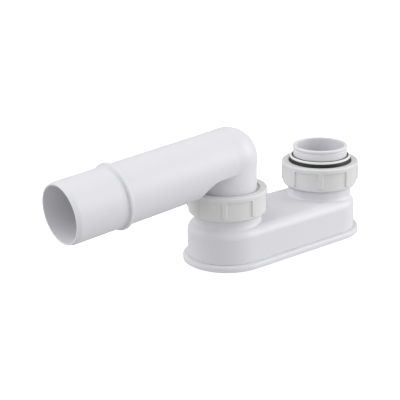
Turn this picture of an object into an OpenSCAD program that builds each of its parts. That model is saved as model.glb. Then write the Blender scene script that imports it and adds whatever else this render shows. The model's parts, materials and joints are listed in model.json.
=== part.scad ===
// Low bath trap with an outlet elbow and tube, all in moulded plastic.
// The origin is at the middle of the base, +X runs towards the inlet and +Z is up.
// Lengths are in millimetres and angles in degrees.

/* [Trap body] */
// Distance between the centres of the body's round ends
end_spacing = 84; // [84:1:100]
// Width of the body across its straight sides
body_w = 54; // [54:0.5:56]
// Height of the body's flat top above the base
body_top = 27.2; // [25:0.1:29]
// Radius of the rounded shoulder
shoulder_r = 6.5; // [4:0.5:8]
// Thickness of the body's wall
body_wall = 2.2; // [2:0.1:2.6]

/* [Bottom cover] */
// Width of the flange across its straight sides
flange_w = 60.8; // [60:0.2:64]
// Height of the flange
flange_h = 4; // [3.5:0.5:5]
// Rounding of the flange's top edge
flange_round = 1.6; // [0.5:0.1:2]
// Height of the lip that stands inside the wall, above the flange
lip_h = 4.5; // [3:0.5:6]
// Depth of the relief under the cover
foot_relief = 1.2; // [0.6:0.2:1.6]

/* [Necks] */
// Distance of the outlet's axis from the middle of the base
outlet_offset = 42; // [40:1:45]
// Distance of the inlet's axis from the middle of the base
inlet_offset = 45; // [40:1:45]
// Height of each neck above the body's top
neck_h = 17.6; // [17:0.1:18]
// Outside diameter over the neck's thread
thread_d = 47.6; // [47.2:0.1:47.8]
// Outside diameter of the plain part under the thread
neck_root_d = 44.8; // [44:0.2:45]
// Bore of the neck that takes the tubes
neck_bore = 40.8; // [40.6:0.1:41]

/* [Union nuts] */
// Outside diameter over the top band and the ribs
nut_d = 54.4; // [54:0.2:57]
// Height of a nut
nut_h = 17; // [16.5:0.1:17.5]
// Height of the full-width band at the top
band_h = 3.2; // [2.5:0.1:4]
// Depth of the panels between the ribs
panel_depth = 1; // [0.6:0.1:1.2]
// Number of grip ribs
rib_count = 8; // [6:1:12]
// Width of a rib
rib_w = 3.2; // [2.6:0.2:4]
// Height of the ribs' round lower ends above the foot
rib_foot = 2.6; // [2:0.2:4]
// Diameter of the opening in a nut's top
nut_opening = 44.4; // [44.2:0.1:45]
// Height of the outlet nut's foot above the base
outlet_nut_z = 33.3; // [33.2:0.1:33.6]
// Height of the inlet nut's foot above the base
inlet_nut_z = 34.7; // [34.2:0.1:35]
// Turn of the outlet nut's ribs
outlet_nut_turn = 1; // [0:1:44]
// Turn of the inlet nut's ribs
inlet_nut_turn = 2; // [0:1:44]

/* [Outlet elbow] */
// Outside diameter of the outlet tube and the leg
pipe_d = 40; // [40:0.1:40.2]
// Thickness of their wall
pipe_wall = 1.8; // [1.6:0.1:2.4]
// Height of the corner, where the leg's axis meets the tube's
corner_z = 70.5; // [70:0.5:74]
// Fall of the tube towards its open end
tube_fall = 4.25; // [1:0.25:5]
// Length of the tube from the corner to its open end
tube_length = 131; // [120:1:160]
// Distance of the stop ring from the open end
ring_to_end = 38.9; // [30:0.1:45]
// Outside diameter of the stop ring
ring_d = 43.5; // [42:0.1:44]
// Width of the stop ring
ring_w = 2.4; // [1.6:0.2:4]
// Length of the bevel at the open end
bevel_l = 3; // [1:0.5:5]
// Depth of that bevel
bevel_depth = 0.8; // [0.3:0.1:1]
// Height of the relief's flat roof below the tube's axis
relief_drop = 6.3; // [5:0.1:8]
// Reach of the relief from the leg's axis
relief_reach = 33; // [31:0.5:36]
// Rounding of the relief's far corner
relief_r = 12; // [8:1:13]

/* [Inlet tube] */
// Outside diameter of the inlet tube
inlet_d = 38; // [37.6:0.1:38]
// Thickness of its wall
inlet_wall = 2; // [1.6:0.1:2.4]
// Height of its rim above the base
inlet_top = 63; // [60:0.5:110]
// Height of its open foot above the base
inlet_foot = 11; // [9:0.5:14]
// Diameter over the rounded rim
rim_d = 39; // [38.4:0.2:39.4]

/* [Hidden] */
$fn = 96;

// Colours of the mouldings and of the rubber
white = "#eceef2";
ring_white = "#f8f8f8";
rubber_black = "#1b1b1d";

// A small extra length that lets a cut run past a face
past = 1;

body_r = body_w / 2;
flange_r = flange_w / 2;
top_wall = body_wall + 0.2;
lip_gap = 0.15;
lip_wall = 1.5;
lip_r = body_r - body_wall - lip_gap;
foot_rim = 5;
cover_rib_w = 2;
cover_rib_pitch = 28;
cover_rib_count = 5;

neck_top = body_top + neck_h;
flare_w = 1.2;
flare_rise = 1.5;
flare_drop = 0.9;
foot_sink = 0.3;
neck_chamfer = 2;
thread_chamfer = 0.6;
thread_start = 6.3;
// The leg stands on a ledge at the foot of the outlet neck
ledge_z = body_top + 0.8;
ledge_bore = 36;

thread_gap = 0.15;
nut_bore_r = thread_d / 2 + thread_gap;
nut_top_wall = 2.2;
nut_round = 1.5;
nut_foot_chamfer = 1.2;
nut_mouth_chamfer = 0.4;
nut_lead_in = 0.8;
panel_r = nut_d / 2 - panel_depth;

pipe_r = pipe_d / 2;
pipe_bore_r = pipe_r - pipe_wall;
// The corner's sphere stands this much proud, so that it crosses the tubes instead of grazing them
corner_proud = 0.04;
leg_length = corner_z - ledge_z;
ring_round = 0.5;

inlet_r = inlet_d / 2;
inlet_bore_r = inlet_r - inlet_wall;
rim_h = 1.8;
rim_round = 1.2;
rim_lead_in = 0.5;
rim_neck_h = 1;
rim_neck_depth = 0.3;

// The seals fill the neck's chamfer, and the nuts' shoulders press on them
seal_r = 23.4;
slip_ring_h = 1.3;
outlet_shoulder = outlet_nut_z + nut_h - nut_top_wall;
inlet_shoulder = inlet_nut_z + nut_h - nut_top_wall;
seal_nose = 1.2;
collar_foot_r = 22;
collar_top_r = 21.4;
collar_top = inlet_nut_z + nut_h + 2.3;
sleeve_r = 20.1;
sleeve_h = 1.6;
lip_ridge = 0.3;
inlet_ring_h = 1.5;
inlet_ring_round = 0.5;

// Carries a half profile, with radius across and height up, round the ends and along the sides
module oblong() {
    for (side = [-1, 1])
        translate([side * end_spacing / 2, 0, 0])
            rotate([0, 0, -side * 90])
                rotate_extrude(angle = 180)
                    children();
    rotate([90, 0, 90])
        linear_extrude(height = end_spacing, center = true) {
            children();
            mirror([1, 0])
                children();
        }
}

// A block of half profile from the axis out to r, with its top corner rounded
module round_shouldered(r, low, high, corner) {
    translate([0, low])
        square([r, high - corner - low]);
    translate([0, low])
        square([r - corner, high - low]);
    translate([r - corner, high - corner])
        circle(corner);
}

// The neck's outside: a flared foot that goes down into the shoulder, a plain root and a
// thread zone with chamfered ends
module neck_profile() {
    root_r = neck_root_d / 2;
    major_r = thread_d / 2;
    foot_low = body_top - shoulder_r + foot_sink;
    thread_low = body_top + thread_start;
    step = major_r - root_r;
    polygon([
        [0, foot_low],
        [root_r + flare_w, foot_low],
        [root_r + flare_w, body_top - flare_drop],
        [root_r, body_top + flare_rise],
        [root_r, thread_low - step],
        [major_r, thread_low],
        [major_r, neck_top - thread_chamfer],
        [major_r - thread_chamfer, neck_top],
        [0, neck_top]
    ]);
}

// The chamfered bore at the neck's mouth, from a given height upwards
module neck_bore_cut(low) {
    translate([0, 0, low])
        cylinder(h = neck_top - low + past, d = neck_bore);
    translate([0, 0, neck_top - neck_chamfer])
        cylinder(h = neck_chamfer, d1 = neck_bore, d2 = neck_bore + 2 * neck_chamfer);
}

module trap_body() {
    color(white)
        difference() {
            union() {
                oblong()
                    round_shouldered(body_r, flange_h, body_top, shoulder_r);
                for (x = [-outlet_offset, inlet_offset])
                    translate([x, 0, 0])
                        rotate_extrude()
                            neck_profile();
            }
            oblong()
                round_shouldered(body_r - body_wall, flange_h - past, body_top - top_wall,
                                 shoulder_r - body_wall);
            translate([-outlet_offset, 0, 0]) {
                cylinder(h = neck_top, d = ledge_bore);
                neck_bore_cut(ledge_z);
            }
            translate([inlet_offset, 0, 0])
                neck_bore_cut(body_top - top_wall - past);
        }
}

// Stiffening ribs under the cover, one along it and a row across it, flush with its foot rim
module cover_ribs() {
    rib_h = foot_relief + past;
    translate([0, 0, rib_h / 2])
        cube([2 * flange_w + end_spacing, cover_rib_w, rib_h], center = true);
    for (i = [0 : cover_rib_count - 1])
        translate([(i - (cover_rib_count - 1) / 2) * cover_rib_pitch, 0, rib_h / 2])
            cube([cover_rib_w, 2 * flange_w, rib_h], center = true);
}

module bottom_cover() {
    color(white)
        difference() {
            union() {
                oblong()
                    round_shouldered(flange_r, 0, flange_h, flange_round);
                oblong()
                    translate([lip_r - lip_wall, flange_h - past])
                        square([lip_wall, lip_h + past]);
            }
            difference() {
                oblong()
                    translate([0, -past])
                        square([flange_r - foot_rim, foot_relief + past]);
                cover_ribs();
            }
        }
}

// The nut's outside without its ribs: a foot chamfer, the panels and the rounded top band
module nut_profile() {
    polygon([
        [0, 0],
        [panel_r - nut_foot_chamfer, 0],
        [panel_r, nut_foot_chamfer],
        [panel_r, nut_h - band_h],
        [0, nut_h - band_h]
    ]);
    round_shouldered(nut_d / 2, nut_h - band_h, nut_h, nut_round);
}

// One grip rib, with a round lower end, standing on the panel and running up into the band
module nut_rib() {
    rib_low = rib_foot + rib_w / 2;
    rotate([90, 0, 90])
        linear_extrude(height = nut_d) {
            translate([0, rib_low])
                circle(d = rib_w);
            translate([-rib_w / 2, rib_low])
                square([rib_w, nut_h - band_h / 2 - rib_low]);
        }
}

module union_nut(turn) {
    shoulder = nut_h - nut_top_wall;
    difference() {
        union() {
            rotate_extrude()
                nut_profile();
            intersection() {
                cylinder(h = nut_h - band_h / 2, d = nut_d);
                for (i = [0 : rib_count - 1])
                    rotate([0, 0, turn + i * 360 / rib_count])
                        nut_rib();
            }
        }
        translate([0, 0, -past])
            cylinder(h = shoulder + past, r = nut_bore_r);
        cylinder(h = nut_h + past, d = nut_opening);
        translate([0, 0, nut_h - nut_mouth_chamfer])
            cylinder(h = nut_mouth_chamfer, d1 = nut_opening, d2 = nut_opening + 2 * nut_mouth_chamfer);
        cylinder(h = nut_lead_in, r1 = nut_bore_r + nut_lead_in, r2 = nut_bore_r);
    }
}

module outlet_nut() {
    color(white)
        translate([-outlet_offset, 0, outlet_nut_z])
            union_nut(outlet_nut_turn);
}

module inlet_nut() {
    color(white)
        translate([inlet_offset, 0, inlet_nut_z])
            union_nut(inlet_nut_turn);
}

// Rubber cone that fills the neck's chamfer and stands up to the slip ring
module outlet_seal() {
    color(rubber_black)
        translate([-outlet_offset, 0, 0])
            rotate_extrude()
                polygon([
                    [pipe_r, neck_top - neck_chamfer],
                    [neck_bore / 2, neck_top - neck_chamfer],
                    [neck_bore / 2 + neck_chamfer, neck_top],
                    [seal_r, neck_top],
                    [seal_r, outlet_shoulder - slip_ring_h],
                    [pipe_r, outlet_shoulder - slip_ring_h]
                ]);
}

module outlet_slip_ring() {
    color(ring_white)
        translate([-outlet_offset, 0, outlet_shoulder - slip_ring_h])
            difference() {
                cylinder(h = slip_ring_h, r = seal_r);
                translate([0, 0, -past])
                    cylinder(h = slip_ring_h + 2 * past, r = pipe_r + thread_gap);
            }
}

// Rubber seal with a nose in the neck, a flange under the nut and a ridged collar that
// stands out of the nut's opening, with a thin sleeve for the white ring
module inlet_seal() {
    collar_h = collar_top - inlet_shoulder;
    function collar_r(z) =
        collar_foot_r + (collar_top_r - collar_foot_r) * (z - inlet_shoulder) / collar_h;
    ridges = [collar_top - 2.1, collar_top - 1.1];
    color(rubber_black)
        translate([inlet_offset, 0, 0])
            rotate_extrude()
                polygon(concat(
                    [
                        [inlet_r, neck_top - neck_chamfer - seal_nose],
                        [neck_bore / 2 - lip_gap, neck_top - neck_chamfer - seal_nose],
                        [neck_bore / 2, neck_top - neck_chamfer],
                        [neck_bore / 2 + neck_chamfer, neck_top],
                        [seal_r, neck_top],
                        [seal_r, inlet_shoulder],
                        [collar_foot_r, inlet_shoulder]
                    ],
                    [for (z = ridges, step = [[-lip_ridge, 0], [0, lip_ridge], [lip_ridge, 0]])
                        [collar_r(z + step[0]) + step[1], z + step[0]]],
                    [
                        [collar_top_r, collar_top],
                        [sleeve_r, collar_top],
                        [sleeve_r, collar_top + sleeve_h],
                        [inlet_r, collar_top + sleeve_h]
                    ]
                ));
}

module inlet_slip_ring() {
    color(ring_white)
        translate([inlet_offset, 0, 0])
            rotate_extrude()
                difference() {
                    round_shouldered(collar_top_r, collar_top, collar_top + inlet_ring_h, inlet_ring_round);
                    translate([0, collar_top - past])
                        square([sleeve_r, inlet_ring_h + 2 * past]);
                }
}

// Puts children, drawn along +Z from the corner, on the tube's falling axis
module along_tube() {
    translate([-outlet_offset, 0, corner_z])
        rotate([0, -90 - tube_fall, 0])
            children();
}

// The relief under the tube that clears the nut: a flat roof with a rounded far corner.
// grow makes it larger all round, which leaves a wall above it
module nut_relief(grow) {
    reach = relief_reach + grow;
    drop = relief_drop - grow;
    corner = relief_r + grow;
    along_tube()
        rotate([90, 0, 0])
            linear_extrude(height = 2 * pipe_d, center = true)
                mirror([1, 0]) {
                    translate([drop, -pipe_d])
                        square([pipe_d, reach - corner + pipe_d]);
                    translate([drop + corner, -pipe_d])
                        square([pipe_d, reach + pipe_d]);
                    translate([drop + corner, reach - corner])
                        circle(corner);
                }
}

module outlet_elbow() {
    ring_low = tube_length - ring_to_end - ring_w / 2;
    color(white)
        difference() {
            union() {
                difference() {
                    along_tube()
                        cylinder(h = tube_length - bevel_l, r = pipe_r);
                    nut_relief(0);
                }
                along_tube() {
                    translate([0, 0, tube_length - bevel_l])
                        cylinder(h = bevel_l, r1 = pipe_r, r2 = pipe_r - bevel_depth);
                    translate([0, 0, ring_low])
                        rotate_extrude()
                            round_shouldered(ring_d / 2, 0, ring_w, ring_round);
                }
                translate([-outlet_offset, 0, ledge_z])
                    cylinder(h = leg_length, r = pipe_r);
                translate([-outlet_offset, 0, corner_z])
                    sphere(pipe_r + corner_proud);
            }
            difference() {
                along_tube()
                    cylinder(h = tube_length + past, r = pipe_bore_r);
                nut_relief(pipe_wall);
            }
            translate([-outlet_offset, 0, ledge_z - past])
                cylinder(h = leg_length + past, r = pipe_bore_r);
            translate([-outlet_offset, 0, corner_z])
                sphere(pipe_bore_r + corner_proud);
        }
}

// The tube's half profile: a plain wall, a shallow neck and the rounded rim with a lead-in
module inlet_profile() {
    neck_r = inlet_r - rim_neck_depth;
    neck_high = inlet_top - rim_h;
    neck_low = neck_high - rim_neck_h;
    difference() {
        union() {
            translate([0, inlet_foot])
                square([inlet_r, neck_low - inlet_foot]);
            translate([0, neck_low])
                square([neck_r, rim_neck_h]);
            round_shouldered(rim_d / 2, neck_high, inlet_top, rim_round);
        }
        translate([0, inlet_foot - past])
            square([inlet_bore_r, inlet_top - inlet_foot + 2 * past]);
        polygon([
            [inlet_bore_r - past, inlet_top - rim_lead_in - past],
            [inlet_bore_r + rim_lead_in, inlet_top],
            [inlet_bore_r + rim_lead_in, inlet_top + past],
            [inlet_bore_r - past, inlet_top + past]
        ]);
    }
}

module inlet_tube() {
    color(white)
        translate([inlet_offset, 0, 0])
            rotate_extrude()
                inlet_profile();
}

trap_body();
bottom_cover();
outlet_nut();
inlet_nut();
outlet_seal();
inlet_seal();
outlet_slip_ring();
inlet_slip_ring();
outlet_elbow();
inlet_tube();
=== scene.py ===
import math

import bmesh
import bpy
import numpy as np
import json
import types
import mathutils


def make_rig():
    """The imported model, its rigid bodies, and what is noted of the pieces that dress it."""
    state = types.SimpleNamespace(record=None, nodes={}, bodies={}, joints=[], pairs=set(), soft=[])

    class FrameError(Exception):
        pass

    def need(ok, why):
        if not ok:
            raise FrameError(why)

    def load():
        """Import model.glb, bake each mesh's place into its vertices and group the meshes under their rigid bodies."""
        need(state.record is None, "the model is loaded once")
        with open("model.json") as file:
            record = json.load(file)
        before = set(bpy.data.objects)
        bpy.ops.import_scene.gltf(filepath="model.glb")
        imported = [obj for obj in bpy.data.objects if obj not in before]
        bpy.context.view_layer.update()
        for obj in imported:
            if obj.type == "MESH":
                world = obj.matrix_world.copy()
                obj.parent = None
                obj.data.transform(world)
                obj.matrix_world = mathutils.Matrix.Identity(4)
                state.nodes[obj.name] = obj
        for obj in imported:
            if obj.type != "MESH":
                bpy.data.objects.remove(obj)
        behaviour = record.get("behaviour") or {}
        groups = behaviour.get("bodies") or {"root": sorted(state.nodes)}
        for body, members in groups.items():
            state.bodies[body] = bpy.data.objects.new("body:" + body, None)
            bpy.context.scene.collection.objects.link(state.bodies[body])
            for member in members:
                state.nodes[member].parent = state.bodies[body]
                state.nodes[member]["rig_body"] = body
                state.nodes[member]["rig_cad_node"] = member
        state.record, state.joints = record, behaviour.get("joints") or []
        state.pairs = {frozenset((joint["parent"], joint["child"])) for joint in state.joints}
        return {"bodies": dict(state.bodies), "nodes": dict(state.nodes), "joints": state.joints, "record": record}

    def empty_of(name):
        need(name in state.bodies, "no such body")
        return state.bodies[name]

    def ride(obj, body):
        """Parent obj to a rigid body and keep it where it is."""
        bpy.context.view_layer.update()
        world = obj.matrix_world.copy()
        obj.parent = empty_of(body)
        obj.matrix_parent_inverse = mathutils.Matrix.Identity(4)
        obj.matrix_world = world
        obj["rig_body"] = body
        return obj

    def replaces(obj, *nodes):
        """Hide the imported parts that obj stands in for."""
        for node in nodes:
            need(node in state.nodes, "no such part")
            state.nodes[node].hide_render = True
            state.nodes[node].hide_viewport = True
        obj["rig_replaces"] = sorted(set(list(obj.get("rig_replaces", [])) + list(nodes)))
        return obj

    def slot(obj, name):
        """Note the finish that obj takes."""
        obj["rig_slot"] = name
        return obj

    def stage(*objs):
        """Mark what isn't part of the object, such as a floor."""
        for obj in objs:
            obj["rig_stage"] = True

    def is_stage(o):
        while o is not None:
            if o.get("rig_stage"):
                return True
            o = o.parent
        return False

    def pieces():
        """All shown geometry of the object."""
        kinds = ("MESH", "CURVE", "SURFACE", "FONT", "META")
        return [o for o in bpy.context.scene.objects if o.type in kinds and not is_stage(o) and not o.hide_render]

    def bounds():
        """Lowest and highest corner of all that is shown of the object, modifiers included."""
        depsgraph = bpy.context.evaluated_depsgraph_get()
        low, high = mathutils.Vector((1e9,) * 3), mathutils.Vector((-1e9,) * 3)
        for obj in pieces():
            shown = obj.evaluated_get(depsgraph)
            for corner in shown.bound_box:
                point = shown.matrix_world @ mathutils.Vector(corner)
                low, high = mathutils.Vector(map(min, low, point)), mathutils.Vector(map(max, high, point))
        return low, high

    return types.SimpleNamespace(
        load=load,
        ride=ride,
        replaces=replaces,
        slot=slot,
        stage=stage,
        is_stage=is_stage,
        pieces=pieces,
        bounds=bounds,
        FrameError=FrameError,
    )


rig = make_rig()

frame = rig.load()
CAD_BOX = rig.bounds()

# Bath trap with an outlet tube, in moulded white polypropylene with rubber seals. Lengths are
# in millimetres until a mesh is made, the origin is at the middle of the base, +X points to
# the inlet and +Z is up. These sizes are those of the solids.
MM = 0.001

HALF_SPACING = 42.0
BODY_R, BODY_TOP, BODY_FOOT = 27.0, 27.2, 4.0
SHOULDER_R, BODY_WALL, TOP_WALL = 6.5, 2.2, 2.4
FLANGE_R, FLANGE_H, FLANGE_ROUND = 30.4, 4.0, 1.6
LIP_OUT, LIP_IN, LIP_TOP = 24.65, 23.15, 8.5
FOOT_RIM, FOOT_RELIEF = 5.0, 1.2
COVER_RIB_W, COVER_RIB_PITCH = 2.0, 28.0

OUTLET_X, INLET_X = -42.0, 45.0
NECK_TOP, ROOT_R, NECK_BORE_R, LEDGE_BORE_R, LEDGE_Z = 44.8, 22.4, 20.4, 18.0, 28.0
THREAD_R, THREAD_FOOT, THREAD_PITCH = 23.8, 33.5, 2.309
NECK_CHAMFER = 2.0

NUT_R, NUT_H, BAND_H, PANEL_R = 27.2, 17.0, 3.2, 26.2
RIB_COUNT, RIB_W, RIB_FOOT = 8, 3.2, 2.6
NUT_OPENING_R, NUT_BORE_R, NUT_TOP_WALL = 22.2, 23.95, 2.2
OUTLET_NUT_Z, INLET_NUT_Z = 33.3, 34.7
OUTLET_NUT_TURN, INLET_NUT_TURN = 1.0, 2.0

PIPE_R, PIPE_WALL = 20.0, 1.8
CORNER = np.array([OUTLET_X, 0.0, 70.5])
FALL = math.radians(4.25)
TUBE_LENGTH, BEVEL_L, BEVEL_DEPTH = 131.0, 3.0, 0.8
RING_FAR, RING_W, RING_R = 93.3, 2.4, 21.75
RELIEF_DROP, RELIEF_REACH, RELIEF_R = 6.3, 33.0, 12.0

INLET_R, INLET_BORE_R, RIM_R = 19.0, 17.0, 19.5
INLET_TOP, INLET_FOOT = 63.0, 11.0
COLLAR_TOP, COLLAR_TOP_R, COLLAR_FOOT_R, SLEEVE_R = 54.0, 21.4, 22.0, 20.1
INLET_SHOULDER = INLET_NUT_Z + NUT_H - NUT_TOP_WALL


# ---------------------------------------------------------------- section lines and grids

def rounded(corners, closed=True, steps=5, support=0.3):
    """A section line from corners given as (across, up, radius).

    Each corner is swapped for an arc that touches both of its sides. The arc's angle runs
    evenly from one side to the other. One more point lies a little way along each side, so
    that the flat between two arcs is shaded flat.
    """
    points = np.array([c[:2] for c in corners], float)
    line = []
    for i, (p, (_, _, radius)) in enumerate(zip(points, corners)):
        if not closed and i in (0, len(corners) - 1):
            line.append(p[None])
            continue
        back, ahead = points[i - 1] - p, points[(i + 1) % len(points)] - p
        back_l, ahead_l = np.linalg.norm(back), np.linalg.norm(ahead)
        back, ahead = back / back_l, ahead / ahead_l
        half = math.acos(np.clip(back @ ahead, -1, 1)) / 2
        if radius <= 0 or half > math.radians(89):
            line.append(p[None])
            continue
        reach = min(radius / math.tan(half), 0.46 * back_l, 0.46 * ahead_l)
        r = reach * math.tan(half)
        middle = p + (back + ahead) / np.linalg.norm(back + ahead) * (r / math.sin(half))
        a, b = p + back * reach - middle, p + ahead * reach - middle
        turn = math.atan2(a[0] * b[1] - a[1] * b[0], a @ b)
        angle = np.linspace(0, turn, steps + 1)[:, None]
        arc = middle + a * np.cos(angle) + np.array([-a[1], a[0]]) * np.sin(angle)
        room = min(support, 0.3 * (min(back_l, ahead_l) - reach))
        line += [(p + back * (reach + room))[None], arc, (p + ahead * (reach + room))[None]]
    return np.concatenate(line)


def turned(line, axis_x, count):
    """A section line of (radius, height) carried round an upright axis in count even steps."""
    angle = np.arange(count) * 2 * math.pi / count
    r, z = line[:, :1], line[:, 1:]
    return np.stack([axis_x + r * np.cos(angle), r * np.sin(angle), z + 0 * angle], -1)


def round_the_oblong(line, side_steps=28, end_steps=72):
    """A section line of (distance from the middle line, height) carried round an oblong.

    The middle line is the straight line between the centres of the two round ends. Along a
    straight side the distance points sideways, and at an end it turns with the angle.
    """
    along = np.linspace(-HALF_SPACING, HALF_SPACING, side_steps, endpoint=False)
    turn = np.linspace(0, math.pi, end_steps, endpoint=False)
    flat, full = np.zeros(side_steps), np.full(end_steps, HALF_SPACING)
    middle = np.concatenate([-along, -full, along, full])
    out_x = np.concatenate([flat, -np.sin(turn), flat, np.sin(turn)])
    out_y = np.concatenate([flat + 1, np.cos(turn), flat - 1, -np.cos(turn)])
    d, z = line[:, :1], line[:, 1:]
    return np.stack([middle + d * out_x, d * out_y, z + 0 * middle], -1)


def smooth(x, low, high):
    """Goes from 0 to 1 between low and high, level at both ends: 3 t squared less 2 t cubed."""
    t = np.clip((x - low) / (high - low), 0, 1)
    return t * t * (3 - 2 * t)


def joined(a, b, radius):
    """Distance to two shapes together, with a fillet of that radius where they meet."""
    return np.maximum(radius, np.minimum(a, b)) - np.hypot(
        np.maximum(radius - a, 0), np.maximum(radius - b, 0))


def common(a, b, radius):
    """Distance to what two shapes have in common, its edge rounded to that radius."""
    return np.minimum(-radius, np.maximum(a, b)) + np.hypot(
        np.maximum(radius + a, 0), np.maximum(radius + b, 0))


def settle(grid, distance, rounds=12):
    """Moves every point along the slope of a distance function until the distance is nought.

    The slope is the difference of the distance a small step to both sides, along each axis.
    """
    step = 0.02
    for _ in range(rounds):
        slope = np.stack([distance(grid + step * e) - distance(grid - step * e)
                          for e in np.eye(3)], -1) / (2 * step)
        steep = np.maximum((slope ** 2).sum(-1, keepdims=True), 0.2)
        grid = grid - 0.8 * distance(grid)[..., None] * slope / steep
    return grid


def piece(name, grids, material, slot, node=None, sharp=42):
    """One mesh from point grids in millimetres, whose rows and columns both close on themselves.

    A grid may also be (points, False), whose rows end in poles or lines that weld shut.
    """
    points, quads, start = [], [], 0
    for grid in grids:
        grid, rows_close = grid if isinstance(grid, tuple) else (grid, True)
        rows, cols = grid.shape[:2]
        index = np.arange(rows * cols).reshape(rows, cols) + start
        index = np.concatenate([index, index[:, :1]], 1)
        if rows_close:
            index = np.concatenate([index, index[:1]], 0)
        quads.append(np.stack([index[:-1, :-1], index[:-1, 1:], index[1:, 1:], index[1:, :-1]],
                              -1).reshape(-1, 4))
        points.append(grid.reshape(-1, 3))
        start += rows * cols
    points, quads = np.concatenate(points) * MM, np.concatenate(quads)
    mesh = bpy.data.meshes.new(name)
    mesh.vertices.add(len(points))
    mesh.vertices.foreach_set("co", points.astype(np.float32).ravel())
    mesh.loops.add(quads.size)
    mesh.loops.foreach_set("vertex_index", quads.astype(np.int32).ravel())
    mesh.polygons.add(len(quads))
    mesh.polygons.foreach_set("loop_start", np.arange(0, quads.size, 4, dtype=np.int32))
    mesh.update(calc_edges=True)
    work = bmesh.new()
    work.from_mesh(mesh)
    bmesh.ops.remove_doubles(work, verts=work.verts, dist=2e-6)
    bmesh.ops.dissolve_degenerate(work, dist=1e-7, edges=work.edges)
    bmesh.ops.recalc_face_normals(work, faces=work.faces)
    work.to_mesh(mesh)
    work.free()
    mesh.shade_smooth()
    mesh.set_sharp_from_angle(angle=math.radians(sharp))
    thing = bpy.data.objects.new(name, mesh)
    bpy.context.scene.collection.objects.link(thing)
    mesh.materials.append(material)
    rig.ride(thing, "root")
    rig.slot(thing, slot)
    if node:
        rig.replaces(thing, node)
    return thing


# ---------------------------------------------------------------- finishes

def colour(code):
    """A linear colour from its sRGB hex code."""
    parts = [int(code[i:i + 2], 16) / 255 for i in (1, 3, 5)]
    return (*[c / 12.92 if c <= 0.04045 else ((c + 0.055) / 1.055) ** 2.4 for c in parts], 1)


def add(tree, kind, links=(), **values):
    """Adds one shader node, sets its properties or inputs, and links (input, from) pairs."""
    made = tree.nodes.new(kind)
    for key, value in values.items():
        if hasattr(made, key):
            setattr(made, key, value)
        else:
            made.inputs[key.replace("_", " ")].default_value = value
    for where, source in links:
        tree.links.new(source, made.inputs[where])
    return made


def moulding(name, light, dark, rough, rough_spread, grain_mm, grain_depth, scatter=0.0, ior=1.49):
    """A moulded plastic or rubber.

    The colour drifts between two close tones over some centimetres, as the melt cools
    unevenly. The roughness drifts with it, and a fine grain from the mould's surface stands
    grain_depth millimetres high and grain_mm across.
    """
    made = bpy.data.materials.new(name)
    made.use_nodes = True
    tree = made.node_tree
    shader = tree.nodes["Principled BSDF"]
    shader.inputs["IOR"].default_value = ior
    if scatter:
        shader.inputs["Subsurface Weight"].default_value = scatter
        shader.inputs["Subsurface Radius"].default_value = (1.0, 0.95, 0.9)
        shader.inputs["Subsurface Scale"].default_value = 1.5 * MM
    place = add(tree, "ShaderNodeTexCoord").outputs["Object"]
    drift = add(tree, "ShaderNodeTexNoise", [("Vector", place)], Scale=1 / (38 * MM), Detail=2.0)
    grain = add(tree, "ShaderNodeTexNoise", [("Vector", place)], Scale=1 / (grain_mm * MM),
                Detail=1.0)
    tone = add(tree, "ShaderNodeMix", [("Factor", drift.outputs["Fac"])], data_type="RGBA")
    tone.inputs["A"].default_value = colour(dark)
    tone.inputs["B"].default_value = colour(light)
    for socket, code in ((6, dark), (7, light)):
        tone.inputs[socket].default_value = colour(code)
    gloss = add(tree, "ShaderNodeMapRange", [("Value", drift.outputs["Fac"])])
    gloss.inputs["From Min"].default_value = 0.3
    gloss.inputs["From Max"].default_value = 0.7
    gloss.inputs["To Min"].default_value = rough - rough_spread
    gloss.inputs["To Max"].default_value = rough + rough_spread
    bump = add(tree, "ShaderNodeBump", [("Height", grain.outputs["Fac"])])
    bump.inputs["Strength"].default_value = 1.0
    bump.inputs["Distance"].default_value = grain_depth * MM
    tree.links.new(tone.outputs[2], shader.inputs["Base Color"])
    tree.links.new(gloss.outputs["Result"], shader.inputs["Roughness"])
    tree.links.new(bump.outputs["Normal"], shader.inputs["Normal"])
    return made


# Polypropylene as moulded in a fine-blasted steel tool: white, satin and a little translucent
pipe_pp = moulding("moulded_polypropylene", "#DFDFE3", "#DCDCE0", 0.42, 0.03, 0.9, 0.004, 0.12)
# The nuts are moulded from a batch that is a touch greyer
nut_pp = moulding("nut_polypropylene", "#DDDDDE", "#DADADA", 0.44, 0.03, 0.9, 0.004, 0.12)
# Low-density polyethylene ring, smoother and whiter than the mouldings
ring_pe = moulding("ring_polyethylene", "#EDEDEC", "#EAEAE9", 0.34, 0.03, 1.2, 0.002, 0.15, 1.51)
# EPDM rubber with carbon black, compression moulded, with a dull sheen
seal_epdm = moulding("seal_epdm_rubber", "#161618", "#101012", 0.5, 0.06, 0.7, 0.01, 0.0, 1.52)


# ---------------------------------------------------------------- body and cover

body_line = rounded([
    (0, BODY_TOP, 0), (BODY_R, BODY_TOP, SHOULDER_R), (BODY_R, BODY_FOOT, 0.35),
    (BODY_R - BODY_WALL, BODY_FOOT, 0.2),
    (BODY_R - BODY_WALL, BODY_TOP - TOP_WALL, SHOULDER_R - BODY_WALL), (0, BODY_TOP - TOP_WALL, 0),
], closed=False, steps=14)


def body_height(x, y):
    """Height of the body's outside over a point: level, then a quarter circle at the shoulder."""
    out = np.hypot(np.maximum(np.abs(x) - HALF_SPACING, 0), y)
    drop = np.clip(out - (BODY_R - SHOULDER_R), 0, SHOULDER_R)
    return BODY_TOP - SHOULDER_R + np.sqrt(SHOULDER_R ** 2 - drop ** 2)


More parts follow.
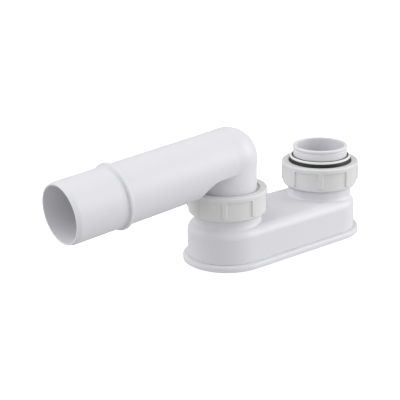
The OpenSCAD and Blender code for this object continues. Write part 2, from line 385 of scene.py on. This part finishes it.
def neck(axis_x, bore_foot, fillet=1.7, count=192):
    """A threaded neck that flares into the body, as one closed grid round its axis.

    The thread's radius goes up and down once a pitch, and the pitch climbs once a turn. At
    the foot a parabola runs from the wall to the body's outside, whose height differs all
    round. The section then returns inside the body's wall and climbs the bore.
    """
    angle = np.arange(count) * 2 * math.pi / count
    c, s = np.cos(angle), np.sin(angle)
    top = rounded([(NECK_BORE_R, NECK_TOP - NECK_CHAMFER, 0), (ROOT_R, NECK_TOP, 0.2),
                   (THREAD_R - 0.6, NECK_TOP, 0.2), (THREAD_R, NECK_TOP - 0.6, 0.0)],
                  closed=False, steps=3)[1:-1]
    z = np.linspace(NECK_TOP - 0.7, THREAD_FOOT - 1.4, 76)[:, None]
    turn = z / THREAD_PITCH - angle / (2 * math.pi)
    tooth = np.abs(2 * (turn % 1) - 1)
    fade = smooth(z, THREAD_FOOT - 1.4, THREAD_FOOT) * smooth(NECK_TOP - z, 0.0, 1.2)
    thread_r = ROOT_R + (THREAD_R - ROOT_R) * smooth(tooth, 0.12, 0.88) * fade
    foot = body_height(axis_x + ROOT_R * c, ROOT_R * s)
    end_r = ROOT_R + fillet
    end = body_height(axis_x + end_r * c, end_r * s)
    t = np.linspace(0, 1, 10)[:, None]
    start = foot + fillet * 1.2
    wall_z = np.linspace(THREAD_FOOT - 1.5, 1, 8)[:, None] * 0 + np.linspace(1, 0, 8)[:, None] * (
        THREAD_FOOT - 1.6 - start) + start
    flare_z = (1 - t) ** 2 * start + 2 * t * (1 - t) * foot + t * t * (end - 0.04)
    flare_r = ROOT_R * ((1 - t) ** 2 + 2 * t * (1 - t)) + end_r * t * t + 0 * angle
    inside = [(NECK_BORE_R + 0.9, BODY_TOP - 1.4), (bore_foot[0], BODY_TOP - 1.4), *bore_foot[1]]
    rows_r = [top[:, :1] + 0 * angle, thread_r + 0 * z, 0 * wall_z + ROOT_R, flare_r,
              end_r - 0.2 + 0 * angle[None]]
    rows_z = [top[:, 1:] + 0 * angle, z + 0 * angle, wall_z, flare_z, end[None] - 0.8]
    for r, height in inside:
        rows_r.append(np.full((1, count), r))
        rows_z.append(np.full((1, count), height))
    r, z = np.concatenate(rows_r), np.concatenate(rows_z)
    return np.stack([axis_x + r * c, r * s, z], -1)


def cut_hole(thing, axis_x, radius):
    """Opens the body's top under a neck with a plain round cutter."""
    cutter_line = np.array([(0, BODY_TOP - 6), (radius, BODY_TOP - 6), (radius, BODY_TOP + 3),
                            (0, BODY_TOP + 3)], float)
    cutter = piece("cutter", [(turned(cutter_line, axis_x, 96), False)], pipe_pp, "moulded_pp")
    cut = thing.modifiers.new("hole", "BOOLEAN")
    cut.operation, cut.solver, cut.object = "DIFFERENCE", "EXACT", cutter
    scene_now = bpy.context.evaluated_depsgraph_get()
    mesh = bpy.data.meshes.new_from_object(thing.evaluated_get(scene_now))
    thing.modifiers.clear()
    thing.data = mesh
    bpy.data.objects.remove(cutter)


trap_body = piece("trap_body_moulding", [(round_the_oblong(body_line), False)],
                  pipe_pp, "moulded_pp", "trap_body")
cut_hole(trap_body, OUTLET_X, LEDGE_BORE_R + 0.3)
cut_hole(trap_body, INLET_X, NECK_BORE_R + 0.3)

outlet_neck = piece("outlet_neck", [neck(OUTLET_X, (LEDGE_BORE_R, [
    (LEDGE_BORE_R, LEDGE_Z - 0.2), (LEDGE_BORE_R + 0.2, LEDGE_Z), (NECK_BORE_R - 0.1, LEDGE_Z),
    (NECK_BORE_R, LEDGE_Z + 0.2), (NECK_BORE_R, NECK_TOP - NECK_CHAMFER - 0.1)]))],
    pipe_pp, "moulded_pp")
inlet_neck = piece("inlet_neck", [neck(INLET_X, (NECK_BORE_R, [
    (NECK_BORE_R, BODY_TOP), (NECK_BORE_R, NECK_TOP - NECK_CHAMFER - 0.1)]))],
    pipe_pp, "moulded_pp")

cover_line = rounded([
    (0, FOOT_RELIEF, 0), (FLANGE_R - FOOT_RIM, FOOT_RELIEF, 0.4), (FLANGE_R - FOOT_RIM, 0, 0.3),
    (FLANGE_R, 0, 0.5), (FLANGE_R, FLANGE_H, FLANGE_ROUND), (BODY_R - 1, FLANGE_H, 0),
    (LIP_OUT, FLANGE_H, 0.2), (LIP_OUT, LIP_TOP, 0.3), (LIP_IN, LIP_TOP, 0.3),
    (LIP_IN, FLANGE_H, 0.6), (0, FLANGE_H, 0),
], closed=False, steps=7)


def bar(x0, x1, y0, y1, z0, z1, soft=0.25):
    """A straight bar with soft edges, as rows round its section between two closed ends.

    The section is an oblong with rounded corners, drawn in to a smaller one at each end.
    """
    section = rounded([(y0, z0, soft), (y1, z0, soft), (y1, z1, soft), (y0, z1, soft)], steps=3)
    middle = np.array([(y0 + y1) / 2, (z0 + z1) / 2])
    inner = middle + (section - middle) * (1 - 2 * soft / np.array([y1 - y0, z1 - z0]))
    rows = [(x0, middle + 0 * section), (x0, inner), (x0 + soft, section),
            (x1 - soft, section), (x1, inner), (x1, middle + 0 * section)]
    return (np.stack([np.column_stack([np.full(len(s), x), s]) for x, s in rows]), False)


def across(grid):
    """The same bar turned to run across instead of along."""
    points, closed = grid
    return (points[..., [1, 0, 2]] * np.array([1, 1, 1]), closed)


reach = FLANGE_R - FOOT_RIM
cover_ribs = [bar(-HALF_SPACING - reach - 0.5, HALF_SPACING + reach + 0.5,
                  -COVER_RIB_W / 2, COVER_RIB_W / 2, 0.0, FOOT_RELIEF + 0.4)]
for k in range(-2, 3):
    x = k * COVER_RIB_PITCH
    half = math.sqrt(max(reach ** 2 - max(abs(x) - HALF_SPACING, 0) ** 2, 0)) + 0.5
    cover_ribs.append(across(bar(-half, half, x - COVER_RIB_W / 2, x + COVER_RIB_W / 2,
                                 0.0, FOOT_RELIEF + 0.4)))
bottom_cover = piece("bottom_cover_moulding",
                     [(round_the_oblong(cover_line), False), *cover_ribs],
                     pipe_pp, "moulded_pp", "bottom_cover")


# ---------------------------------------------------------------- union nuts

def nut_grid(axis_x, foot_z, turn_degrees):
    """A union nut as one closed grid: rows follow the wall's section, columns go round.

    Between the foot's chamfer and the band the outside stands out by the height of the grip
    ribs. That height is a smooth step of the distance, in the unrolled wall, to the nearest
    rib: an upright strip with a round lower end. The band counts as one more strip, and the
    corners between strips have a small fillet.
    """
    per = 2 * math.pi / RIB_COUNT
    close = np.linspace(-2.4, 2.4, 29) / PANEL_R
    far = np.linspace(2.4 / PANEL_R, per - 2.4 / PANEL_R, 9)[1:-1]
    local = np.concatenate([close, far])
    angle = (np.arange(RIB_COUNT)[:, None] * per + local).ravel()
    beside = PANEL_R * ((angle + per / 2) % per - per / 2)

    band_low = NUT_H - BAND_H
    foot = rounded([(NUT_BORE_R, 0.7, 0), (NUT_BORE_R + 0.8, 0, 0.2), (PANEL_R - 1.2, 0, 0.3),
                    (PANEL_R, 1.2, 0.35), (PANEL_R, 4, 0)], closed=False, steps=4)[:-1]
    z = np.concatenate([np.arange(foot[-1, 1] + 0.15, band_low - 0.6, 0.24),
                        np.linspace(band_low - 0.6, band_low + 0.6, 13)])[:, None]
    rib_low = RIB_FOOT + RIB_W / 2
    to_rib = np.hypot(beside, np.maximum(rib_low - z, 0)) - RIB_W / 2
    to_band = band_low - z + 0 * beside
    apart = joined(to_rib, to_band, 0.8)
    stand = (NUT_R - PANEL_R) * (1 - smooth(apart, -0.22, 0.26))
    wall = PANEL_R + stand
    top = rounded([(NUT_R, NUT_H - 2.4, 0), (NUT_R, NUT_H, 1.5), (NUT_OPENING_R, NUT_H, 0.4),
                   (NUT_OPENING_R, NUT_H - NUT_TOP_WALL, 0.15),
                   (NUT_BORE_R, NUT_H - NUT_TOP_WALL, 0.3), (NUT_BORE_R, 0.8, 0)],
                  closed=False, steps=8)[1:]
    low_stand = (NUT_R - PANEL_R) * (1 - smooth(np.hypot(beside, np.maximum(
        rib_low - foot[:, 1:], 0)) - RIB_W / 2, -0.22, 0.26))
    r = np.concatenate([foot[:, :1] + low_stand * (foot[:, :1] > PANEL_R - 0.5), wall,
                        top[:, :1] + 0 * beside])
    height = np.concatenate([foot[:, 1:] + 0 * beside, z + 0 * beside, top[:, 1:] + 0 * beside])
    round_by = angle + math.radians(turn_degrees)
    return np.stack([axis_x + r * np.cos(round_by), r * np.sin(round_by), foot_z + height], -1)


outlet_nut = piece("outlet_union_nut", [nut_grid(OUTLET_X, OUTLET_NUT_Z, OUTLET_NUT_TURN)],
                   nut_pp, "moulded_pp", "outlet_nut")
inlet_nut = piece("inlet_union_nut", [nut_grid(INLET_X, INLET_NUT_Z, INLET_NUT_TURN)],
                  nut_pp, "moulded_pp", "inlet_nut")


# ---------------------------------------------------------------- outlet elbow

ALONG = np.array([-math.cos(FALL), 0.0, -math.sin(FALL)])
UNDER = np.array([math.sin(FALL), 0.0, -math.cos(FALL)])
DOWN = np.array([0.0, 0.0, -1.0])
BACK = np.array([-1.0, 0.0, 0.0])
SIDE = np.array([0.0, 1.0, 0.0])


def elbow_distance(p, r, drop, reach, corner, edge, fillet):
    """Distance to the elbow's skin of radius r.

    The tube's distance is that to its axis less r. The relief's is that of a corner rounded
    to the given radius, below a roof and short of its reach. The tube outside the relief
    keeps a rounded edge, and a fillet joins it to the leg and to the domed corner.
    """
    v = p - CORNER
    s, below = v @ ALONG, v @ UNDER
    tube = np.hypot(below, v[..., 1]) - r
    relief = common(drop - below, s - reach, corner)
    leg = np.hypot(v[..., 0], v[..., 1]) - r
    dome = np.sqrt((v ** 2).sum(-1)) - r
    tube = np.where(s > 0, tube, dome)
    leg = np.where(v[..., 2] < 0, leg, dome)
    return joined(common(tube, -relief, edge), leg, fillet)


def elbow_rows(r, drop, reach, corner, edge, fillet, low, tube_rows, count=288):
    """The elbow's skin of radius r from the leg's foot to 40 mm along the tube.

    Column by column, the skin follows the leg, then the crease or the dome, then the tube.
    In the relief a point keeps its place across and drops only as far as the relief's roof.
    The crease is where the leg's wall meets the roof, or else where the two tubes mitre. A
    parabola round it spreads the rows, and all points then settle on the rounded skin.
    """
    turn = np.arange(count) * 2 * math.pi / count
    # the angle where the roof's edge cuts the section; the shift that would gather columns there is scaled to nought,
    # so the columns stay even
    cut = math.acos(drop / r)
    turn = turn - 0.35 * np.sin(2 * (turn - cut) * 1.0) * 0.0
    low_side, across_ = r * np.cos(turn), r * np.sin(turn)

    def tube_point(s):
        depth = np.where(s < reach - corner, drop, drop + corner - np.sqrt(
            np.maximum(corner ** 2 - np.clip(s - reach + corner, 0, corner) ** 2, 0)))
        depth = np.where(s < reach, depth, r + 1)
        below = np.minimum(low_side, depth)
        return CORNER + s[..., None] * ALONG + below[..., None] * UNDER + across_[:, None] * SIDE

    def leg_point(z):
        return (CORNER + z[..., None] * DOWN + (low_side + 0 * z)[..., None] * BACK
                + across_[:, None] * SIDE)

    between = math.acos(float(ALONG @ DOWN))
    mitre = low_side / math.tan(between / 2)
    # along the tube, the leg's wall at this column meets the roof here
    roof_s = (low_side - drop * -BACK @ UNDER) / math.cos(FALL)
    roofed = low_side > drop
    s_end = np.where(roofed, (low_side + drop * math.sin(FALL)) / math.cos(FALL), mitre)
    z_end = np.where(roofed, s_end * math.sin(FALL) + drop * math.cos(FALL), mitre)
    spread = 1.2
    s_from = np.maximum(s_end, 0) + spread
    z_from = np.maximum(z_end, 0) + spread
    crease = np.where(roofed[:, None], tube_point(s_end), leg_point(mitre))
    w = np.linspace(0, 1, 29)[1:-1, None, None]
    a, b = leg_point(z_from), tube_point(s_from)
    bend = (1 - w) ** 2 * a + 2 * w * (1 - w) * crease + w * w * b
    leg_share = np.linspace(0, 1, 34)[:, None]
    leg = leg_point(low + (z_from - low) * leg_share)
    near = reach - corner
    tube_share = np.linspace(0, 1, 24)[:, None]
    stretch = tube_point(s_from + (near - s_from) * tube_share)
    far = np.concatenate([near + np.linspace(0, reach + 1.6 - near, tube_rows)[1:],
                          np.linspace(reach + 1.6, 40, 8)[1:]])[:, None] + 0 * turn
    grid = np.concatenate([leg, bend, stretch, tube_point(far)])
    return settle(grid, lambda p: elbow_distance(p, r, drop, reach, corner, edge, fillet)), turn


def tube_lathe(line, turn):
    """A section line of (radius, distance along the tube) carried round the tube's axis."""
    r, s = line[:, :1, None], line[:, 1:, None]
    return (CORNER + s * ALONG + r * (np.cos(turn)[:, None] * UNDER + np.sin(turn)[:, None] * SIDE))


skin, turn = elbow_rows(PIPE_R, RELIEF_DROP, RELIEF_REACH, RELIEF_R, 0.7, 0.8,
                        CORNER[2] - LEDGE_Z - 0.6, 30)
bore_r = PIPE_R - PIPE_WALL
lining, _ = elbow_rows(bore_r, RELIEF_DROP - PIPE_WALL, RELIEF_REACH + PIPE_WALL,
                       RELIEF_R + PIPE_WALL, 0.6, 1.2, CORNER[2] - LEDGE_Z - 0.4, 16)
tube_line = rounded([
    (PIPE_R, 41, 0), (PIPE_R, RING_FAR - RING_W, 0.35), (RING_R, RING_FAR - RING_W, 0.6),
    (RING_R, RING_FAR, 0.6), (PIPE_R, RING_FAR, 0.35), (PIPE_R, TUBE_LENGTH - BEVEL_L, 0.8),
    (PIPE_R - BEVEL_DEPTH, TUBE_LENGTH, 0.3), (bore_r, TUBE_LENGTH, 0.3), (bore_r, 41, 0),
], closed=False, steps=5)
foot_line = np.array([(bore_r, 0.15), (bore_r + 0.15, 0.0), (PIPE_R - 0.3, 0.0), (PIPE_R, 0.3)])
foot_r, foot_z = foot_line[:, :1], foot_line[:, 1:]
leg_foot = np.stack([OUTLET_X - foot_r * np.cos(turn), foot_r * np.sin(turn),
                     LEDGE_Z + foot_z + 0 * turn], -1)
outlet_elbow = piece("outlet_elbow_moulding",
                     [np.concatenate([leg_foot, skin, tube_lathe(tube_line, turn), lining[::-1]])],
                     pipe_pp, "moulded_pp", "outlet_elbow")


# ---------------------------------------------------------------- inlet tube, seal and rings

inlet_line = rounded([
    (INLET_BORE_R, INLET_FOOT, 0.4), (INLET_R, INLET_FOOT, 0.4), (INLET_R, INLET_TOP - 2.9, 0.4),
    (INLET_R - 0.3, INLET_TOP - 2.4, 0.3), (RIM_R, INLET_TOP - 1.7, 0.5),
    (RIM_R, INLET_TOP - 0.3, 1.3), (RIM_R - 1.0, INLET_TOP, 0.8),
    (INLET_BORE_R + 0.5, INLET_TOP, 0.4), (INLET_BORE_R, INLET_TOP - 0.6, 0.4),
], steps=6)
inlet_tube = piece("inlet_tube_moulding", [turned(inlet_line, INLET_X, 192)],
                   pipe_pp, "moulded_pp", "inlet_tube")


def collar_r(z):
    """The seal's collar narrows evenly from the nut's shoulder to its top."""
    share = (z - INLET_SHOULDER) / (COLLAR_TOP - INLET_SHOULDER)
    return COLLAR_FOOT_R + (COLLAR_TOP_R - COLLAR_FOOT_R) * share


seal_corners = [
    (INLET_R, NECK_TOP - NECK_CHAMFER - 1.2, 0.1),
    (NECK_BORE_R - 0.15, NECK_TOP - NECK_CHAMFER - 1.2, 0.3),
    (NECK_BORE_R - 0.03, NECK_TOP - NECK_CHAMFER, 0.1), (ROOT_R - 0.05, NECK_TOP, 0.1),
    (23.35, NECK_TOP, 0.1), (23.35, INLET_SHOULDER, 0.1), (COLLAR_FOOT_R, INLET_SHOULDER, 0.1)]
for ridge in (COLLAR_TOP - 2.1, COLLAR_TOP - 1.1):
    seal_corners += [(collar_r(ridge - 0.35), ridge - 0.35, 0.1),
                     (collar_r(ridge) + 0.3, ridge, 0.15),
                     (collar_r(ridge + 0.35), ridge + 0.35, 0.1)]
seal_corners += [(COLLAR_TOP_R, COLLAR_TOP, 0.25), (SLEEVE_R, COLLAR_TOP, 0.1),
                 (SLEEVE_R, COLLAR_TOP + 1.6, 0.2), (INLET_R, COLLAR_TOP + 1.6, 0.2)]
inlet_seal = piece("inlet_rubber_seal", [turned(rounded(seal_corners, steps=3), INLET_X, 192)],
                   seal_epdm, "seal_rubber", "inlet_seal")

ring_line = rounded([(SLEEVE_R, COLLAR_TOP, 0.2), (COLLAR_TOP_R, COLLAR_TOP, 0.3),
                     (COLLAR_TOP_R, COLLAR_TOP + 1.5, 0.5), (SLEEVE_R, COLLAR_TOP + 1.5, 0.2)])
inlet_ring = piece("inlet_white_ring", [turned(ring_line, INLET_X, 192)],
                   ring_pe, "ring_pe", "inlet_slip_ring")

for name, finish in (("outlet_seal", seal_epdm), ("outlet_slip_ring", ring_pe)):
    mesh = frame["nodes"][name].data
    mesh.materials.clear()
    mesh.materials.append(finish)


# ---------------------------------------------------------------- studio

def stage_plane(name, half, z, material):
    """A level square of that half width."""
    mesh = bpy.data.meshes.new(name)
    mesh.from_pydata([(-half, -half, z), (half, -half, z), (half, half, z), (-half, half, z)],
                     [], [(0, 1, 2, 3)])
    thing = bpy.data.objects.new(name, mesh)
    bpy.context.scene.collection.objects.link(thing)
    mesh.materials.append(material)
    thing.visible_diffuse = thing.visible_glossy = False
    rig.stage(thing)


# A back-lit acrylic table top, as product studios use for a white ground
table = bpy.data.materials.new("table_acrylic")
table.use_nodes = True
top = table.node_tree.nodes["Principled BSDF"]
top.inputs["Base Color"].default_value = colour("#E6E6E6")
top.inputs["Roughness"].default_value = 0.9
top.inputs["Specular IOR Level"].default_value = 0.0
top.inputs["Emission Color"].default_value = colour("#FFFFFF")
top.inputs["Emission Strength"].default_value = 0.55
stage_plane("table", 6.0, -0.0002, table)

sky = bpy.data.worlds.new("studio")
sky.use_nodes = True
sky.node_tree.nodes["Background"].inputs["Color"].default_value = colour("#FFFFFF")
sky.node_tree.nodes["Background"].inputs["Strength"].default_value = 0.609
bpy.context.scene.world = sky


def softbox(name, azimuth, elevation, distance, size, power):
    """A square area light that looks at the part from a direction seen from its middle."""
    a, e = math.radians(azimuth), math.radians(elevation)
    back = np.array([math.sin(a) * math.cos(e), -math.cos(a) * math.cos(e), math.sin(e)])
    right = np.array([math.cos(a), math.sin(a), 0.0])
    lamp = bpy.data.lights.new(name, "AREA")
    lamp.shape, lamp.size, lamp.energy = "SQUARE", size, power
    thing = bpy.data.objects.new(name, lamp)
    place = np.eye(4)
    place[:3, 0], place[:3, 1], place[:3, 2] = right, np.cross(back, right), back
    place[:3, 3] = np.array([-0.03, 0, 0.04]) + back * distance
    thing.matrix_world = place.tolist() and __import__("mathutils").Matrix(place.tolist())
    bpy.context.scene.collection.objects.link(thing)


softbox("key", 51, 20.6, 1.7, 1.2, 16.5)
softbox("left", -129, 35, 1.6, 1.2, 8.2)
softbox("fill", -84, 35, 1.6, 1.2, 3.7)
softbox("high", -129, 65, 1.6, 1.2, 3.0)
softbox("front", 6, 20.6, 1.7, 1.2, 1.3)


# ---------------------------------------------------------------- camera

def look():
    """The photograph's camera, from a fit of the part's edges.

    Its place, its heading and its tilt were worked out in millimetres and degrees, and the
    lens is the fitted distance in pixels for a frame 400 pixels and 36 mm wide.
    """
    a, e, roll = math.radians(-38.667), math.radians(18.801), math.radians(-0.94)
    back = np.array([math.sin(a) * math.cos(e), -math.cos(a) * math.cos(e), math.sin(e)])
    right = np.array([math.cos(a), math.sin(a), 0.0])
    up = np.cross(back, right)
    place = np.eye(4)
    place[:3, 0] = math.cos(roll) * right + math.sin(roll) * up
    place[:3, 1] = -math.sin(roll) * right + math.cos(roll) * up
    place[:3, 2] = back
    place[:3, 3] = np.array([-492.195, -533.542, 278.478]) * MM
    lens = bpy.data.cameras.new("camera")
    lens.sensor_width, lens.lens = 36.0, 36.0 * 1098.6 / 400
    lens.clip_start, lens.clip_end = 0.01, 100
    thing = bpy.data.objects.new("camera", lens)
    bpy.context.scene.collection.objects.link(thing)
    thing.matrix_world = __import__("mathutils").Matrix(place.tolist())
    bpy.context.scene.camera = thing


look()
bpy.context.scene.view_settings.view_transform = "Standard"

with open("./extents.json", "w") as sizes:
    import json
    json.dump({"cad": [list(map(float, corner)) for corner in CAD_BOX],
               "visual": [list(map(float, corner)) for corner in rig.bounds()]}, sizes)
